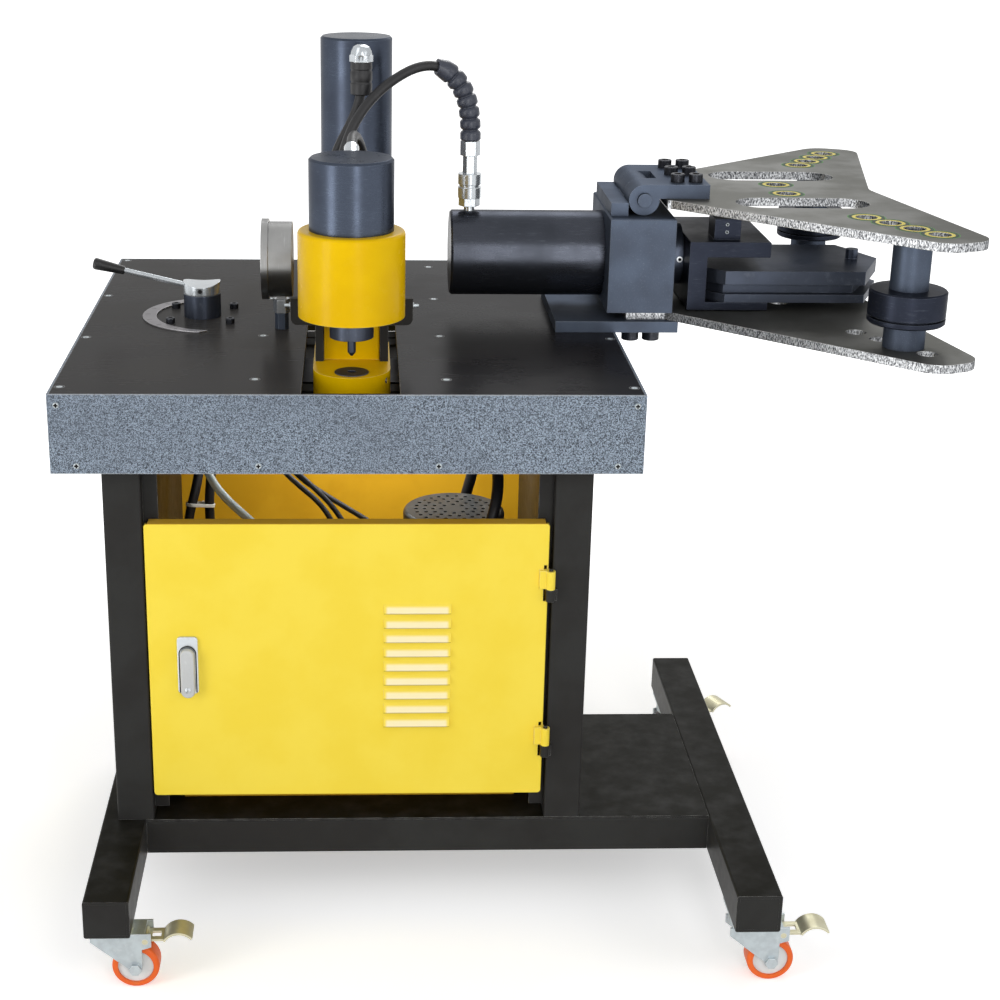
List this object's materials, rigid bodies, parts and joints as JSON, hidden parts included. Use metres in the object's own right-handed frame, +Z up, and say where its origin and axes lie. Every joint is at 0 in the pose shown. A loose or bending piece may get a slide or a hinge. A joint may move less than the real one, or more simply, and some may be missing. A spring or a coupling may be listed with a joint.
{
  "type": "busbar processing machine",
  "caption": "Wheeled hydraulic work table with a punch, a cutter and a hinged-wing bender for flat metal bars, over a yellow cabinet with a louvred door.",
  "frame": {"origin": "on the floor under the middle of the whole machine", "axes": "+Z up, +X to the operator's right where the bender overhangs, -Y towards the operator in front"},
  "size_m": [1.2119, 0.9921, 1.176],
  "materials": {
    "frame_paint": "satin black enamel",
    "table_paint": "fine hammered black enamel",
    "yellow_paint": "gloss yellow enamel",
    "blued_steel": "turned and blued steel",
    "ground_steel": "ground plate with mill scale",
    "bright_steel": "zinc plated steel",
    "motor_grey": "grey enamel",
    "hose_rubber": "matt hose rubber",
    "grip_plastic": "black grip",
    "wheel_orange": "cast orange tyre on a pale hub",
    "gauge_glass": "clear glass",
    "needle_paint": "matt black"
  },
  "bodies": {
    "stand": {"base_frame": "frame_paint", "legs": "frame_paint", "table_frame": "frame_paint", "table_plates": "table_paint", "apron_panels": "table_paint", "table_screws": "bright_steel", "cabinet_panels": "yellow_paint", "oil_tank": "yellow_paint", "pump_motor": "motor_grey", "selector_valve": "blued_steel", "cap_screws": "blued_steel", "gauge_case": "bright_steel", "gauge_lens": "gauge_glass", "punch_frame": "yellow_paint", "punch_yoke": "blued_steel", "punch_cylinder": "blued_steel", "punch_die": "blued_steel", "cutter_frame": "yellow_paint", "cutter_cylinder": "blued_steel", "bender_base": "blued_steel", "bender_block": "blued_steel", "bender_cylinder": "blued_steel", "wing_lower": "ground_steel", "hinge_base": "blued_steel", "bend_pins": "blued_steel", "hose_manifold": "bright_steel", "hose_fittings": "bright_steel", "hose_bender": "hose_rubber", "hose_cutter": "hose_rubber", "hose_punch": "hose_rubber", "hose_guard": "hose_rubber", "cabinet_lines": "hose_rubber", "caster_plates": "bright_steel"},
    "door": {"front_door": "yellow_paint"},
    "lock": {"lock_handle": "bright_steel"},
    "lever": {"selector_lever": "bright_steel", "lever_grip": "grip_plastic"},
    "needle": {"gauge_needle": "needle_paint"},
    "punch": {"punch_ram": "blued_steel"},
    "cutter": {"cutter_ram": "blued_steel"},
    "bender": {"bender_ram": "blued_steel", "bender_holder": "blued_steel", "bender_punch": "blued_steel"},
    "wing": {"wing_upper": "ground_steel", "hinge_leaf": "blued_steel", "wing_bolts": "blued_steel"},
    "front_roller": {"roller_front": "blued_steel"},
    "rear_roller": {"roller_rear": "blued_steel"},
    "swivel_front_left": {"caster_fork_front_left": "bright_steel"},
    "wheel_front_left": {"caster_wheel_front_left": "wheel_orange"},
    "pedal_front_left": {"caster_pedal_front_left": "bright_steel"},
    "swivel_front_right": {"caster_fork_front_right": "bright_steel"},
    "wheel_front_right": {"caster_wheel_front_right": "wheel_orange"},
    "pedal_front_right": {"caster_pedal_front_right": "bright_steel"},
    "swivel_rear_left": {"caster_fork_rear_left": "bright_steel"},
    "wheel_rear_left": {"caster_wheel_rear_left": "wheel_orange"},
    "pedal_rear_left": {"caster_pedal_rear_left": "bright_steel"},
    "swivel_rear_right": {"caster_fork_rear_right": "bright_steel"},
    "wheel_rear_right": {"caster_wheel_rear_right": "wheel_orange"},
    "pedal_rear_right": {"caster_pedal_rear_right": "bright_steel"}
  },
  "joints": [
    {"name": "door_swing", "type": "hinge", "parent": "stand", "child": "door", "pos_m": [0.045, -0.292, 0.4], "axis": [0, 0, 1], "range_deg": [0, 110]},
    {"name": "lock_turn", "type": "hinge", "parent": "door", "child": "lock", "pos_m": [-0.4415, -0.293, 0.405], "axis": [0, 1, 0], "range_deg": [0, 90]},
    {"name": "lever_turn", "type": "hinge", "parent": "stand", "child": "lever", "pos_m": [-0.4405, 0.0965, 0.82], "axis": [0, 0, 1], "range_deg": [-40, 40]},
    {"name": "needle_turn", "type": "hinge", "parent": "stand", "child": "needle", "pos_m": [-0.332, 0.024, 0.88], "axis": [1, 0, 0], "range_deg": [0, 270], "stiffness_Nm_per_rad": 0.002},
    {"name": "punch_press", "type": "slide", "parent": "stand", "child": "punch", "axis": [0, 0, -1], "range_m": [0, 0.032]},
    {"name": "cutter_press", "type": "slide", "parent": "stand", "child": "cutter", "axis": [0, 0, -1], "range_m": [0, 0.028]},
    {"name": "bender_push", "type": "slide", "parent": "stand", "child": "bender", "axis": [1, 0, 0], "range_m": [-0.018, 0.08]},
    {"name": "wing_lift", "type": "hinge", "parent": "stand", "child": "wing", "pos_m": [0.194, 0.115, 0.966], "axis": [0, -1, 0], "range_deg": [0, 90]},
    {"name": "front_roller_spin", "type": "hinge", "parent": "stand", "child": "front_roller", "pos_m": [0.525, -0.171, 0.864], "axis": [0, 0, 1], "continuous": true},
    {"name": "rear_roller_spin", "type": "hinge", "parent": "stand", "child": "rear_roller", "pos_m": [0.525, 0.401, 0.864], "axis": [0, 0, 1], "continuous": true},
    {"name": "swivel_front_left_turn", "type": "hinge", "parent": "stand", "child": "swivel_front_left", "pos_m": [-0.537, -0.444, 0.09], "axis": [0, 0, 1], "continuous": true},
    {"name": "wheel_front_left_roll", "type": "hinge", "parent": "swivel_front_left", "child": "wheel_front_left", "pos_m": [-0.507, -0.444, 0.0315], "axis": [0, 1, 0], "continuous": true},
    {"name": "pedal_front_left_press", "type": "hinge", "parent": "swivel_front_left", "child": "pedal_front_left", "pos_m": [-0.493, -0.444, 0.072], "axis": [0, 1, 0], "range_deg": [0, 15]},
    {"name": "swivel_front_right_turn", "type": "hinge", "parent": "stand", "child": "swivel_front_right", "pos_m": [0.312, -0.444, 0.09], "axis": [0, 0, 1], "continuous": true},
    {"name": "wheel_front_right_roll", "type": "hinge", "parent": "swivel_front_right", "child": "wheel_front_right", "pos_m": [0.342, -0.444, 0.0315], "axis": [0, 1, 0], "continuous": true},
    {"name": "pedal_front_right_press", "type": "hinge", "parent": "swivel_front_right", "child": "pedal_front_right", "pos_m": [0.356, -0.444, 0.072], "axis": [0, 1, 0], "range_deg": [0, 15]},
    {"name": "swivel_rear_left_turn", "type": "hinge", "parent": "stand", "child": "swivel_rear_left", "pos_m": [-0.537, 0.194, 0.09], "axis": [0, 0, 1], "continuous": true},
    {"name": "wheel_rear_left_roll", "type": "hinge", "parent": "swivel_rear_left", "child": "wheel_rear_left", "pos_m": [-0.507, 0.194, 0.0315], "axis": [0, 1, 0], "continuous": true},
    {"name": "pedal_rear_left_press", "type": "hinge", "parent": "swivel_rear_left", "child": "pedal_rear_left", "pos_m": [-0.493, 0.194, 0.072], "axis": [0, 1, 0], "range_deg": [0, 15]},
    {"name": "swivel_rear_right_turn", "type": "hinge", "parent": "stand", "child": "swivel_rear_right", "pos_m": [0.312, 0.194, 0.09], "axis": [0, 0, 1], "continuous": true},
    {"name": "wheel_rear_right_roll", "type": "hinge", "parent": "swivel_rear_right", "child": "wheel_rear_right", "pos_m": [0.33919, 0.20668, 0.0315], "axis": [-0.4226, 0.9063, 0], "continuous": true},
    {"name": "pedal_rear_right_press", "type": "hinge", "parent": "swivel_rear_right", "child": "pedal_rear_right", "pos_m": [0.35188, 0.2126, 0.072], "axis": [-0.4226, 0.9063, 0], "range_deg": [0, 15]}
  ]
}
